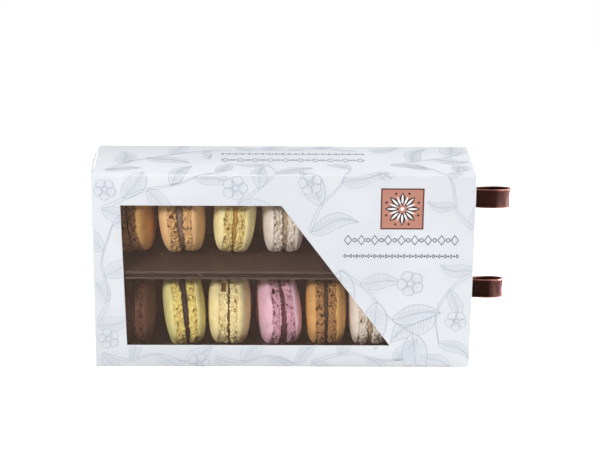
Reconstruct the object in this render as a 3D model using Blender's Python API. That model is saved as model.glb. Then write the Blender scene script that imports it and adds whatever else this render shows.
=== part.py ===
"""A box of fourteen macarons: a windowed card sleeve and two trays that slide out of it by ribbons.

Metres, +Z up. +X runs along the box to the open end where the trays come out, and +Y to the back.
The origin is the middle of the sleeve's bottom. Distances "from the left" start at the sleeve's shut end.
"""

import math
import random
from collections import namedtuple

import bmesh
import bpy
from mathutils import Matrix

# Sleeve: one sheet of coated card folded to a tube, shut at its left end and open at its right
SLEEVE_LENGTH = 0.225
SLEEVE_DEPTH = 0.060
SLEEVE_HEIGHT = 0.121
CARD = 0.0007
FOLD_RADIUS = 0.0008
LEFT_END = -SLEEVE_LENGTH / 2
FRONT = -SLEEVE_DEPTH / 2

# Window in the sleeve's front, with a slanting right side: heights, and distances from the left
WINDOW_BOTTOM = 0.0137
WINDOW_TOP = 0.1020
WINDOW_LEFT_LOW = 0.0190
WINDOW_LEFT_HIGH = 0.0170
WINDOW_RIGHT_LOW = 0.1767
WINDOW_RIGHT_HIGH = 0.1111

# Clear film glued behind the window
FILM = 0.0002
FILM_MARGIN = 0.008

# Smallest space between two pieces that touch in the real box
GAP = 0.0003

# Trays: two formed plastic drawers lying on their sides, open to the window, one above the other
TRAY_HEIGHT = 0.0566
TRAY_FRONT = FRONT + 0.0017
TRAY_BACK = SLEEVE_DEPTH / 2 - CARD - 0.0004
TRAY_LEFT = LEFT_END + CARD + GAP
TRAY_RIGHT = SLEEVE_LENGTH / 2 - 0.0006
TRAY_WALL = 0.0006
TRAY_FLANGE = 0.0024
TRAY_LIP = 0.0008
TRAY_DRAFT = math.radians(3.06)
TRAY_CORNER = 0.003
TRAY_FLOOR_EDGE = 0.002
TRAY_STACK_GAP = 0.0004
CORNER_STEPS = 3

# Ribbon pulls: a loop of satin ribbon glued by its two turned-out ends to each tray's right end
RIBBON_WIDTH = 0.012
RIBBON_THICKNESS = 0.0005
RIBBON_Y = 0.020
RIBBON_HALF_OPENING = 0.0039
RIBBON_FULLNESS = 0.6
RIBBON_FIRST_TURN = 0.35
RIBBON_STEPS = 22
RIBBON_TAB = 0.007
RIBBON_BEND = 0.0012

# Macarons: two domed shells with ruffled feet, and a filling between them
FOOT_HEIGHT = 0.0052
DOME_POWER = 2.3
FILLING_SHARE = 0.91
SHELL_SIDES = 24
FILLING_SIDES = 20

Macaron = namedtuple("Macaron", "flavour from_left seam dome lean turn splay radius")

# Each row from the left: place, space between the shells, height of the domes, then degrees of lean to
# the right, of turn about the upright axis and of each shell's tilt outwards at the top, and the radius
LOWER_ROW = [
    Macaron("chocolate", 0.0219, 0.0030, 0.0066, 0.0, 0.0, 0.0, 0.0229),
    Macaron("green", 0.0522, 0.0032, 0.0060, -4.6, 6.0, 0.9, 0.0230),
    Macaron("yellow", 0.0799, 0.0012, 0.0075, 0.0, -0.3, 0.0, 0.0232),
    Macaron("pink", 0.1097, 0.0034, 0.0062, -2.6, 9.5, -2.2, 0.0230),
    Macaron("caramel", 0.1387, 0.0022, 0.0065, -1.0, 0.0, 0.0, 0.0228),
    Macaron("cream", 0.1650, 0.0030, 0.0063, -1.0, 0.0, 0.0, 0.0230),
    Macaron("peach", 0.1942, 0.0030, 0.0063, 1.5, -2.0, 0.0, 0.0230),
]
UPPER_ROW = [
    Macaron("caramel", 0.0221, 0.0012, 0.0065, -6.0, -6.7, 0.0, 0.0231),
    Macaron("peach", 0.0513, 0.0038, 0.0070, -3.8, -0.4, 1.3, 0.0231),
    Macaron("lemon", 0.0831, 0.0026, 0.0064, 4.0, 1.0, 1.6, 0.0229),
    Macaron("cream", 0.1122, 0.0030, 0.0060, 0.0, 3.4, 0.0, 0.0229),
    Macaron("pink", 0.1410, 0.0030, 0.0062, -1.5, 2.0, 0.8, 0.0230),
    Macaron("green", 0.1698, 0.0029, 0.0062, 2.0, -1.5, 0.0, 0.0230),
    Macaron("chocolate", 0.1984, 0.0030, 0.0064, 0.0, 1.0, 0.6, 0.0230),
]

Drawer = namedtuple("Drawer", "name bottom macaron_y row ribbon_z ribbon_tip")

LOWER_BOTTOM = CARD + GAP
DRAWERS = [
    Drawer("lower", LOWER_BOTTOM, -0.0025, LOWER_ROW, 0.0330, 0.1375),
    Drawer("upper", LOWER_BOTTOM + TRAY_HEIGHT + TRAY_STACK_GAP, 0.0043, UPPER_ROW, 0.0919, 0.1395),
]

# Colours as they are seen, from 0 to 255, of each flavour's shell and filling
SHELL_COLOURS = {
    "chocolate": (98, 62, 46),
    "green": (205, 204, 122),
    "yellow": (238, 222, 158),
    "pink": (222, 166, 196),
    "caramel": (190, 138, 82),
    "cream": (216, 204, 190),
    "peach": (226, 176, 122),
    "lemon": (240, 224, 152),
}
FILLING_COLOURS = {
    "chocolate": (52, 34, 28),
    "green": (74, 52, 44),
    "yellow": (196, 164, 96),
    "pink": (110, 44, 66),
    "caramel": (64, 40, 30),
    "cream": (196, 178, 158),
    "peach": (132, 106, 90),
    "lemon": (214, 176, 84),
}
CARD_COLOUR = (232, 234, 238)
TRAY_COLOUR = (78, 58, 50)
RIBBON_COLOUR = (74, 34, 26)
FILM_COLOUR = (250, 250, 250)


def clear_scene():
    for old in list(bpy.data.objects):
        bpy.data.objects.remove(old, do_unlink=True)


def linear(value):
    share = value / 255
    return share / 12.92 if share <= 0.04045 else ((share + 0.055) / 1.055) ** 2.4


def finish(name, colour, roughness, alpha=1.0):
    """A plain Principled material in a colour given as it is seen."""
    material = bpy.data.materials.get(name) or bpy.data.materials.new(name)
    material.use_nodes = True
    shader = material.node_tree.nodes["Principled BSDF"]
    shader.inputs["Base Color"].default_value = (*map(linear, colour), 1)
    shader.inputs["Roughness"].default_value = roughness
    shader.inputs["Metallic"].default_value = 0.0
    shader.inputs["Alpha"].default_value = alpha
    return material


def add_object(name, bm, material, parent=None):
    bmesh.ops.recalc_face_normals(bm, faces=bm.faces)
    mesh = bpy.data.meshes.new(name)
    bm.to_mesh(mesh)
    bm.free()
    mesh.materials.append(material)
    obj = bpy.data.objects.new(name, mesh)
    bpy.context.scene.collection.objects.link(obj)
    obj.parent = parent
    return obj


def shade_round(obj, crease_degrees):
    obj.data.shade_smooth()
    obj.data.set_sharp_from_angle(angle=math.radians(crease_degrees))


def loft(rings):
    """A closed solid through rings of equally many points, with a flat face on the first and the last."""
    bm = bmesh.new()
    loops = [[bm.verts.new(point) for point in ring] for ring in rings]
    for near, far in zip(loops, loops[1:]):
        for i in range(len(near)):
            j = (i + 1) % len(near)
            bm.faces.new((near[i], near[j], far[j], far[i]))
    bm.faces.new(loops[0])
    end = bm.faces.new(loops[-1])
    return bm, end


def prism(outline, y_front, y_back):
    """A solid with an outline of (x, z) points, between two depths."""
    bm, _ = loft([[(x, y, z) for x, z in outline] for y in (y_front, y_back)])
    return bm


def window_outline(margin=0.0):
    """The window's four corners, moved outwards by a margin."""
    return [
        (LEFT_END + WINDOW_LEFT_LOW - margin, WINDOW_BOTTOM - margin),
        (LEFT_END + WINDOW_RIGHT_LOW + 2 * margin, WINDOW_BOTTOM - margin),
        (LEFT_END + WINDOW_RIGHT_HIGH + margin, WINDOW_TOP + margin),
        (LEFT_END + WINDOW_LEFT_HIGH - margin, WINDOW_TOP + margin),
    ]


def make_sleeve():
    """The card tube: a box without its right face, its folds rounded, given the card's thickness."""
    bm = bmesh.new()
    bmesh.ops.create_cube(bm, size=1.0)
    bmesh.ops.scale(bm, vec=(SLEEVE_LENGTH, SLEEVE_DEPTH, SLEEVE_HEIGHT), verts=bm.verts)
    bmesh.ops.translate(bm, vec=(0, 0, SLEEVE_HEIGHT / 2), verts=bm.verts)
    open_end = [face for face in bm.faces if face.calc_center_median().x > SLEEVE_LENGTH / 4]
    bmesh.ops.delete(bm, geom=open_end, context="FACES")
    sleeve = add_object("sleeve", bm, finish("card", CARD_COLOUR, 0.45))

    folds = sleeve.modifiers.new("folds", "BEVEL")
    folds.width = FOLD_RADIUS
    folds.segments = 2
    folds.limit_method = "ANGLE"
    thickness = sleeve.modifiers.new("card", "SOLIDIFY")
    thickness.thickness = CARD
    thickness.offset = -1.0
    thickness.use_even_offset = True

    opening = prism(window_outline(), FRONT * 1.2, FRONT * 0.8)
    cutter = add_object("window_cutter", opening, finish("cutter", (0, 0, 0), 1.0))
    cutter.hide_render = True
    cutter.display_type = "WIRE"
    window = sleeve.modifiers.new("window", "BOOLEAN")
    window.operation = "DIFFERENCE"
    window.object = cutter


def make_film():
    front = FRONT + CARD + GAP
    outline = window_outline(FILM_MARGIN)
    add_object("window_film", prism(outline, front, front + FILM), finish("film", FILM_COLOUR, 0.05, alpha=0.15))


def rounded_rectangle(bottom, inset, y):
    """A tray's outline at one depth, set in from its flange's outer edge."""
    radius = TRAY_CORNER
    x_low, x_high = TRAY_LEFT + inset + radius, TRAY_RIGHT - inset - radius
    z_low, z_high = bottom + inset + radius, bottom + TRAY_HEIGHT - inset - radius
    centres = [(x_high, z_high), (x_low, z_high), (x_low, z_low), (x_high, z_low)]
    points = []
    for quarter, (x, z) in enumerate(centres):
        for step in range(CORNER_STEPS + 1):
            angle = math.pi / 2 * (quarter + step / CORNER_STEPS)
            points.append((x + radius * math.cos(angle), y, z + radius * math.sin(angle)))
    return points


def wall_inset(y, outside):
    """How far a tray's wall stands in from the flange's outer edge at a depth, on its inner or outer side."""
    thickness = TRAY_WALL if outside else 0.0
    return TRAY_FLANGE - thickness + (y - TRAY_FRONT) * math.tan(TRAY_DRAFT)


def make_tray(drawer, parent):
    """Flange, inner wall and floor, then back over the outside: one thin shell of formed plastic."""
    floor = TRAY_BACK - TRAY_WALL
    lip = TRAY_FRONT + TRAY_LIP
    low_inside, low_outside = floor - TRAY_FLOOR_EDGE, TRAY_BACK - TRAY_FLOOR_EDGE
    stations = [
        (wall_inset(floor, False) + TRAY_FLOOR_EDGE, floor),
        (wall_inset(low_inside, False), low_inside),
        (wall_inset(TRAY_FRONT, False), TRAY_FRONT),
        (0.0, TRAY_FRONT),
        (0.0, lip),
        (wall_inset(lip, True), lip),
        (wall_inset(low_outside, True), low_outside),
        (wall_inset(TRAY_BACK, True) + TRAY_FLOOR_EDGE, TRAY_BACK),
    ]
    bm, _ = loft([rounded_rectangle(drawer.bottom, inset, y) for inset, y in stations])
    tray = add_object(f"tray_{drawer.name}", bm, finish("tray", TRAY_COLOUR, 0.35), parent)
    shade_round(tray, 35)


def ribbon_path(tip):
    """The ribbon's middle line seen from above: a turned-out end, a teardrop loop, the other end."""
    start = wall_x(RIBBON_Y) + GAP + RIBBON_THICKNESS / 2 + RIBBON_BEND / 2
    length = tip - RIBBON_THICKNESS / 2 - start
    loop = []
    for step in range(RIBBON_STEPS + 1):
        angle = RIBBON_FIRST_TURN + (2 * math.pi - 2 * RIBBON_FIRST_TURN) * step / RIBBON_STEPS
        out = length / 2 * (1 - math.cos(angle))
        side = -RIBBON_HALF_OPENING * math.sin(angle) * math.sin(angle / 2) ** RIBBON_FULLNESS
        loop.append((start + out, RIBBON_Y + side))
    front_end = [on_wall(RIBBON_Y - RIBBON_BEND - RIBBON_TAB), on_wall(RIBBON_Y - RIBBON_BEND)]
    back_end = [on_wall(RIBBON_Y + RIBBON_BEND), on_wall(RIBBON_Y + RIBBON_TAB)]
    return front_end + loop + back_end


def wall_x(y):
    """The outer face of a tray's right end wall."""
    return TRAY_RIGHT - wall_inset(y, True)


def on_wall(y):
    return wall_x(y) + GAP + RIBBON_THICKNESS / 2, y


def make_ribbon(drawer, parent):
    bm = bmesh.new()
    low = drawer.ribbon_z - RIBBON_WIDTH / 2
    edge = [bm.verts.new((x, y, low)) for x, y in ribbon_path(drawer.ribbon_tip)]
    strip = [bm.edges.new(pair) for pair in zip(edge, edge[1:])]
    raised = bmesh.ops.extrude_edge_only(bm, edges=strip)["geom"]
    top = [item for item in raised if isinstance(item, bmesh.types.BMVert)]
    bmesh.ops.translate(bm, vec=(0, 0, RIBBON_WIDTH), verts=top)
    ribbon = add_object(f"ribbon_{drawer.name}", bm, finish("ribbon", RIBBON_COLOUR, 0.4), parent)
    thickness = ribbon.modifiers.new("ribbon", "SOLIDIFY")
    thickness.thickness = RIBBON_THICKNESS
    thickness.offset = 0.0
    thickness.use_even_offset = True


def shell_solid(macaron, draws):
    """One shell standing on the plane x = 0: a ruffled foot, a groove, and a smooth dome."""
    stations = [(0.0, 0.945, 0.020), (FOOT_HEIGHT * 0.5, 0.975, 0.022), (FOOT_HEIGHT, 0.952, 0.008)]
    for degrees in (8, 36, 62):
        rise = math.sin(math.radians(degrees)) ** (2 / DOME_POWER)
        reach = math.cos(math.radians(degrees)) ** (2 / DOME_POWER)
        stations.append((FOOT_HEIGHT + macaron.dome * rise, reach, 0.003))
    rings = []
    for along, share, ruffle in stations:
        ring = []
        for side in range(SHELL_SIDES):
            angle = 2 * math.pi * side / SHELL_SIDES
            reach = macaron.radius * (share + ruffle * draws.uniform(-1, 1))
            ring.append((along, reach * math.cos(angle), reach * math.sin(angle)))
        rings.append(ring)
    bm, crown = loft(rings)
    pole = bmesh.ops.poke(bm, faces=[crown])["verts"][0]
    pole.co = (FOOT_HEIGHT + macaron.dome, 0, 0)
    return bm


def filling_solid(macaron):
    """A round of cream between the shells, thicker where they stand apart."""
    reach = macaron.radius * FILLING_SHARE
    slope = math.tan(math.radians(macaron.splay))
    rings = []
    for side, share in ((-1, 0.985), (0, 1.0), (1, 0.985)):
        ring = []
        for step in range(FILLING_SIDES):
            angle = 2 * math.pi * step / FILLING_SIDES
            y, z = reach * share * math.cos(angle), reach * share * math.sin(angle)
            ring.append((side * (macaron.seam / 2 - GAP + z * slope), y, z))
        rings.append(ring)
    bm, _ = loft(rings)
    return bm


def make_macaron(drawer, number, macaron, parent, draws):
    """Two shells and a filling, resting on the tray's lower wall."""
    rest = drawer.bottom + wall_inset(drawer.macaron_y, False)
    height = rest + (macaron.radius + GAP) / math.cos(TRAY_DRAFT)
    place = Matrix.Translation((LEFT_END + macaron.from_left, drawer.macaron_y, height))
    place = place @ Matrix.Rotation(math.radians(macaron.turn), 4, "Z")
    place = place @ Matrix.Rotation(math.radians(macaron.lean), 4, "Y")
    name = f"{drawer.name}_{number}"
    crust = finish(f"{macaron.flavour}_shell", SHELL_COLOURS[macaron.flavour], 0.6)
    cream = finish(f"{macaron.flavour}_filling", FILLING_COLOURS[macaron.flavour], 0.5)

    for side, word in ((1, "right"), (-1, "left")):
        shell = add_object(f"{name}_shell_{word}", shell_solid(macaron, draws), crust, parent)
        outwards = Matrix.Rotation(math.radians(side * macaron.splay), 4, "Y")
        step = Matrix.Translation((side * macaron.seam / 2, 0, 0))
        facing = Matrix.Rotation(0 if side > 0 else math.pi, 4, "Z")
        shell.matrix_basis = place @ outwards @ step @ facing
        shade_round(shell, 40)
    filling = add_object(f"{name}_filling", filling_solid(macaron), cream, parent)
    filling.matrix_basis = place
    shade_round(filling, 50)


def make_drawer(drawer):
    """One tray with its ribbon and its row of seven macarons, all carried by one empty."""
    carrier = bpy.data.objects.new(f"drawer_{drawer.name}", None)
    bpy.context.scene.collection.objects.link(carrier)
    make_tray(drawer, carrier)
    make_ribbon(drawer, carrier)
    draws = random.Random(len(drawer.name) + round(drawer.bottom * 1e4))
    for number, macaron in enumerate(drawer.row, start=1):
        make_macaron(drawer, number, macaron, carrier, draws)


clear_scene()
make_sleeve()
make_film()
for drawer in DRAWERS:
    make_drawer(drawer)
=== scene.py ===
"""Looks for the box of macarons: card sleeve, clear window, formed trays, satin ribbons and macarons."""

import math

import bmesh
import bpy
import numpy as np
from mathutils import Matrix, Vector, noise


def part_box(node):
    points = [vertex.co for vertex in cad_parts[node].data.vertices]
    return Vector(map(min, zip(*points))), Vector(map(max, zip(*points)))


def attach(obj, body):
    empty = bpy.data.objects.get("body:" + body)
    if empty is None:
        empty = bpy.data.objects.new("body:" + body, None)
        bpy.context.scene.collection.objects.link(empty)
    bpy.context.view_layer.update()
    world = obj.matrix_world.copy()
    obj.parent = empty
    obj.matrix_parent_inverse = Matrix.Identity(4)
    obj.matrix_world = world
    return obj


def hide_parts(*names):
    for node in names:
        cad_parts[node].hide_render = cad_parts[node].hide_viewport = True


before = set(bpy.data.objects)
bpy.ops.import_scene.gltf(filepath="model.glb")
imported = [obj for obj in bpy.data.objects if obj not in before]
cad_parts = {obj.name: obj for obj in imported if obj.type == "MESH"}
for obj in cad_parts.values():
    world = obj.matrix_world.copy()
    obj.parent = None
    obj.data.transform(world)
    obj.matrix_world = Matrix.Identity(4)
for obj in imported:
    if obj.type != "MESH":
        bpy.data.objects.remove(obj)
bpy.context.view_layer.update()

# Camera: where the box was photographed from, worked out from six corners of the sleeve. Places are in
# metres in the box's own frame, and the lens and its sensor's width in millimetres.
CAMERA_PLACE = (-0.008296, -1.022547, 0.433267)
CAMERA_YAW = math.radians(1.034)
CAMERA_PITCH = math.radians(19.227)
CAMERA_ROLL = math.radians(0.545)
CAMERA_LENS = 107.29
CAMERA_SENSOR = 36.0
CAMERA_SEES = (0.05, 50.0)


def put_in_scene(name, data):
    """A new object that stands in the scene."""
    placed = bpy.data.objects.new(name, data)
    bpy.context.scene.collection.objects.link(placed)
    return placed


level = Vector((math.cos(CAMERA_YAW), -math.sin(CAMERA_YAW), 0))
ahead = Vector((
    math.sin(CAMERA_YAW) * math.cos(CAMERA_PITCH),
    math.cos(CAMERA_YAW) * math.cos(CAMERA_PITCH),
    -math.sin(CAMERA_PITCH),
))
upright = level.cross(ahead)
right = level * math.cos(CAMERA_ROLL) + upright * math.sin(CAMERA_ROLL)
up = upright * math.cos(CAMERA_ROLL) - level * math.sin(CAMERA_ROLL)
camera = put_in_scene("camera", bpy.data.cameras.new("camera"))
camera.data.lens = CAMERA_LENS
camera.data.sensor_width = CAMERA_SENSOR
camera.data.clip_start, camera.data.clip_end = CAMERA_SEES
camera.matrix_world = Matrix.Translation(CAMERA_PLACE) @ Matrix((right, up, -ahead)).transposed().to_4x4()
bpy.context.scene.camera = camera

# Studio: a white table in a white tent, a soft key light in front on the left, a wide one above and another
# beside the open end, with a narrow beam on the ribbons. Places and sizes across in metres, powers in watts
# and the beam's spread in degrees. Seen by the camera, the table and the tent are lit evenly to white.
STUDIO_LIGHTS = {
    "key": ((-0.90, -1.24, 0.82), 0.26, 23.0, 180),
    "overhead": ((0.05, -0.10, 1.55), 1.30, 17.0, 180),
    "side": ((0.80, 0.03, 0.13), 0.12, 30.0, 180),
    "ribbon": ((0.80, 0.03, 0.085), 0.04, 0.8, 9),
}
LIGHT_AIM = Vector((0.0, 0.0, 0.06))
TENT_LIGHT = 0.08
HALF_TABLE = 0.8
SQUARE = ((-1, -1), (1, -1), (1, 1), (-1, 1))
TABLE_DROP = 0.0002
TABLE_GREY = 0.5
TABLE_GLOW = 0.75

for name, (place, size, power, spread) in STUDIO_LIGHTS.items():
    lamp = put_in_scene(f"{name}_light", bpy.data.lights.new(name, "AREA"))
    lamp.data.size = size
    lamp.data.energy = power
    lamp.data.spread = math.radians(spread)
    lamp.location = place
    lamp.rotation_euler = (LIGHT_AIM - Vector(place)).to_track_quat("-Z", "Y").to_euler()


def lit_for_camera(tree, socket, unseen, seen_by_camera):
    """Sets a stage light's strength: one value for the picture, another for what it throws on the box."""
    rays = tree.nodes.new("ShaderNodeLightPath")
    strength = tree.nodes.new("ShaderNodeMapRange")
    strength.inputs["To Min"].default_value = unseen
    strength.inputs["To Max"].default_value = seen_by_camera
    tree.links.new(rays.outputs["Is Camera Ray"], strength.inputs["Value"])
    tree.links.new(strength.outputs["Result"], socket)


tent = bpy.data.worlds.new("tent")
tent.use_nodes = True
bpy.context.scene.world = tent
tent_glow = tent.node_tree.nodes["Background"]
tent_glow.inputs["Color"].default_value = (1, 1, 1, 1)
lit_for_camera(tent.node_tree, tent_glow.inputs["Strength"], TENT_LIGHT, 1.0)
bpy.context.scene.view_settings.view_transform = "Standard"

table_mesh = bpy.data.meshes.new("table")
table_corners = [(x * HALF_TABLE, y * HALF_TABLE, -TABLE_DROP) for x, y in SQUARE]
table_mesh.from_pydata(table_corners, [], [(0, 1, 2, 3)])
table_finish = bpy.data.materials.new("table_white")
table_finish.use_nodes = True
table_shader = table_finish.node_tree.nodes["Principled BSDF"]
table_shader.inputs["Base Color"].default_value = (TABLE_GREY, TABLE_GREY, TABLE_GREY, 1)
table_shader.inputs["Roughness"].default_value = 1.0
table_shader.inputs["Specular IOR Level"].default_value = 0.0
table_shader.inputs["Emission Color"].default_value = (1, 1, 1, 1)
lit_for_camera(table_finish.node_tree, table_shader.inputs["Emission Strength"], 0.0, TABLE_GLOW)
table_mesh.materials.append(table_finish)
table = put_in_scene("table", table_mesh)

# Card sleeve: one sheet of white carton board, 0.7 mm thick, coated outside and raw inside, die-cut for
# the window, scored and folded to a tube. Its left end is shut by a flap glued over it.
CARD = 0.0007
FOLD_RADIUS = 0.0004
FOLD_STEPS = 5
CARD_COATED = (222, 225, 229)
CARD_SHADED = (217, 220, 225)
CARD_RAW = (228, 226, 220)
sleeve_low, sleeve_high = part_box("sleeve")


class Number:
    """A socket that can stand in a sum: each operator adds one Math node."""

    def __init__(self, graph, socket):
        self.graph = graph
        self.socket = socket

    def __add__(self, other):
        return self.graph.maths("ADD", self, other)

    def __sub__(self, other):
        return self.graph.maths("SUBTRACT", self, other)

    def __rsub__(self, other):
        return self.graph.maths("SUBTRACT", other, self)

    def __mul__(self, other):
        return self.graph.maths("MULTIPLY", self, other)

    __radd__ = __add__
    __rmul__ = __mul__


class Graph:
    """A node tree being built. node() adds one node, sets it up, then fills or links its sockets."""

    def __init__(self, tree):
        self.tree = tree

    def find(self, sockets, key):
        if isinstance(key, int):
            return sockets[key]
        same_identifier = [socket for socket in sockets if socket.identifier == key]
        same_name = [socket for socket in sockets if socket.name == key and socket.enabled]
        return (same_identifier or same_name)[0]

    def fill(self, socket, value):
        if isinstance(value, Number):
            self.tree.links.new(value.socket, socket)
        else:
            socket.default_value = value

    def node(self, kind, inputs=None, output=0, **settings):
        made = self.tree.nodes.new(kind)
        for name, value in settings.items():
            setattr(made, name, value)
        for key, value in (inputs or {}).items():
            self.fill(self.find(made.inputs, key), value)
        return Number(self, self.find(made.outputs, output))

    def maths(self, operation, *values):
        return self.node("ShaderNodeMath", dict(enumerate(values)), operation=operation)

    def vector(self, **parts):
        return self.node("ShaderNodeCombineXYZ", parts)

    def sharpen(self, value, low, high):
        """0 at low, 1 at high, smooth between."""
        limits = {"Value": value, "From Min": low, "From Max": high}
        return self.node("ShaderNodeMapRange", limits, "Result", interpolation_type="SMOOTHSTEP")


class Finish(Graph):
    """A Principled material whose patterns are fixed to the piece by its Object coordinates."""

    def __init__(self, name):
        self.material = bpy.data.materials.new(name)
        self.material.use_nodes = True
        super().__init__(self.material.node_tree)
        self.shader = self.tree.nodes["Principled BSDF"]
        self.place = self.node("ShaderNodeTexCoord", output="Object")

    def set(self, **sockets):
        for name, value in sockets.items():
            self.fill(self.find(self.shader.inputs, name.replace("_", " ")), value)
        return self.material

    def noise(self, size, detail=2.0, stretch=(1, 1, 1)):
        """Cloudy noise from 0 to 1 with features of about that size in metres, stretched along the axes."""
        scale = tuple(1 / (size * share) for share in stretch)
        place = self.node("ShaderNodeMapping", {"Vector": self.place, "Scale": scale}, "Vector")
        return self.node("ShaderNodeTexNoise", {"Vector": place, "Scale": 1.0, "Detail": detail}, "Fac")

    def mix(self, share, low, high):
        colours = {"Factor_Float": share, "A_Color": low, "B_Color": high}
        return self.node("ShaderNodeMix", colours, "Result_Color", data_type="RGBA")

    def bump(self, height, strength, distance):
        sockets = {"Height": height, "Strength": strength, "Distance": distance}
        return self.node("ShaderNodeBump", sockets, "Normal")

    def attribute(self, name):
        return self.node("ShaderNodeAttribute", output="Fac", attribute_name=name)


def seen(colour, share=1.0):
    """A colour given as it is seen, from 0 to 255, or a share of it, as a shader's linear one."""
    shares = [min(255, channel * share) / 255 for channel in colour]
    return (*(s / 12.92 if s <= 0.04045 else ((s + 0.055) / 1.055) ** 2.4 for s in shares), 1)


def add_piece(name, mesh, body, materials, nodes=()):
    """A piece, placed by its mesh, on one of the frame's bodies, standing for the CAD nodes named."""
    mesh.materials.clear()
    for material in materials:
        mesh.materials.append(material)
    piece = put_in_scene(name, mesh)
    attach(piece, body)
    if nodes:
        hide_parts(*nodes)
    return piece


def settle(obj):
    """The plain mesh that an object's modifiers make. The object itself is removed."""
    bpy.context.view_layer.update()
    evaluated = obj.evaluated_get(bpy.context.evaluated_depsgraph_get())
    mesh = bpy.data.meshes.new_from_object(evaluated)
    bpy.data.objects.remove(obj, do_unlink=True)
    return mesh


def smooth(mesh, crease_degrees):
    mesh.shade_smooth()
    mesh.set_sharp_from_angle(angle=math.radians(crease_degrees))
    return mesh


def loft(rings):
    """A closed bmesh through rings of equally many points, each ring closed on itself."""
    bm = bmesh.new()
    loops = [[bm.verts.new(point) for point in ring] for ring in rings]
    for near, far in zip(loops, loops[1:]):
        for i in range(len(near)):
            j = (i + 1) % len(near)
            bm.faces.new((near[i], near[j], far[j], far[i]))
    bm.faces.new(loops[0])
    bm.faces.new(loops[-1])
    return bm


def finished_mesh(name, bm, closed=True):
    if closed:
        bmesh.ops.recalc_face_normals(bm, faces=bm.faces)
    mesh = bpy.data.meshes.new(name)
    bm.to_mesh(mesh)
    bm.free()
    return mesh


coated = Finish("coated_card")
cloud = coated.noise(0.045, 3.0)
fibre = coated.noise(0.0006, 3.0)
coated_card = coated.set(
    Base_Color=coated.mix(coated.sharpen(cloud, 0.3, 0.7), seen(CARD_SHADED), seen(CARD_COATED)),
    Roughness=0.5 + 0.1 * fibre,
    Normal=coated.bump(fibre + 6.0 * cloud, 0.25, 0.00004),
    Specular_IOR_Level=0.25,
)
raw = Finish("raw_card")
raw_fibre = raw.noise(0.0005, 4.0, (4, 1, 1))
raw_card = raw.set(
    Base_Color=raw.mix(raw_fibre, seen(CARD_RAW), seen(CARD_SHADED)),
    Roughness=0.9,
    Normal=raw.bump(raw_fibre, 0.4, 0.00006),
    Specular_IOR_Level=0.1,
)

# The window's corners are found on the CAD sleeve: they are the points of its front face that stand
# inside the face's own outline, so the cut here is the one that was packed.
FACE_MARGIN = 0.005
INSIDE_WINDOW = (-0.05, 0.05)
EDGE_ROUND = 0.0005
EDGE_STEPS = 4
END_BOW_TOP = 0.0011
END_BOW_LOW = 0.0004
END_TRIM = 0.0003
BOW_STEPS = 24
END_LEVELS = 12

front_points = {
    (round(v.co.x, 5), round(v.co.z, 5))
    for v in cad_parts["sleeve"].data.vertices
    if abs(v.co.y - sleeve_low.y) < 1e-5
    and min(v.co.x - sleeve_low.x, sleeve_high.x - v.co.x) > FACE_MARGIN
    and min(v.co.z, sleeve_high.z - v.co.z) > FACE_MARGIN
}
WINDOW = sorted(front_points, key=lambda p: math.atan2(p[1] - INSIDE_WINDOW[1], p[0] - INSIDE_WINDOW[0]))


def grown(outline, margin):
    """A convex outline, anticlockwise, moved outwards by a margin."""
    lines = []
    for (x0, y0), (x1, y1) in zip(outline, outline[1:] + outline[:1]):
        length = math.hypot(x1 - x0, y1 - y0)
        out = Vector((y1 - y0, x0 - x1)) / length * margin
        lines.append((Vector((x0, y0)) + out, Vector((x1, y1)) + out))
    corners = []
    for (a, b), (c, d) in zip(lines[-1:] + lines[:-1], lines):
        run, other = b - a, d - c
        share = (c - a).cross(other) / run.cross(other)
        corners.append(a + run * share)
    return corners


def board_modifier(sheet):
    """Gives a sheet the card's thickness inwards, with raw board on its inner side and its cut edges."""
    board = sheet.modifiers.new("board", "SOLIDIFY")
    board.thickness = CARD
    board.offset = -1.0
    board.use_even_offset = True
    board.material_offset = 1
    board.material_offset_rim = 1


def loose_sheet(name, bm, closed=True):
    sheet = put_in_scene(name, finished_mesh(name, bm, closed))
    sheet.data.materials.append(coated_card)
    sheet.data.materials.append(raw_card)
    return sheet


tube_low = sleeve_low + Vector((FOLD_RADIUS, 0, 0))
tube_bm = bmesh.new()
bmesh.ops.create_cube(tube_bm, size=1.0)
bmesh.ops.scale(tube_bm, vec=sleeve_high - tube_low, verts=tube_bm.verts)
bmesh.ops.translate(tube_bm, vec=(tube_low + sleeve_high) / 2, verts=tube_bm.verts)
ends = [face for face in tube_bm.faces if abs(face.normal.x) > 0.5]
bmesh.ops.delete(tube_bm, geom=ends, context="FACES")
tube = loose_sheet("tube", tube_bm)
folds = tube.modifiers.new("folds", "BEVEL")
folds.width = FOLD_RADIUS
folds.segments = FOLD_STEPS
folds.limit_method = "ANGLE"
board_modifier(tube)
die_rings = [[(x, sleeve_low.y - EDGE_ROUND, z) for x, z in grown(WINDOW, EDGE_ROUND)]]
for step in range(EDGE_STEPS + 1):
    angle = math.pi / 2 * step / EDGE_STEPS
    margin = EDGE_ROUND * (1 - math.sin(angle))
    y = sleeve_low.y + EDGE_ROUND * (1 - math.cos(angle))
    die_rings.append([(x, y, z) for x, z in grown(WINDOW, margin)])
die_rings.append([(x, sleeve_low.y + 3 * CARD, z) for x, z in WINDOW])
die = put_in_scene("die", finished_mesh("die", loft(die_rings)))
die.data.materials.append(raw_card)
cut = tube.modifiers.new("window", "BOOLEAN")
cut.operation = "DIFFERENCE"
cut.object = die
tube_mesh = smooth(settle(tube), 28)
bpy.data.objects.remove(die, do_unlink=True)
add_piece("card_sleeve", tube_mesh, "sleeve", [coated_card, raw_card], ["sleeve"])

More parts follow.
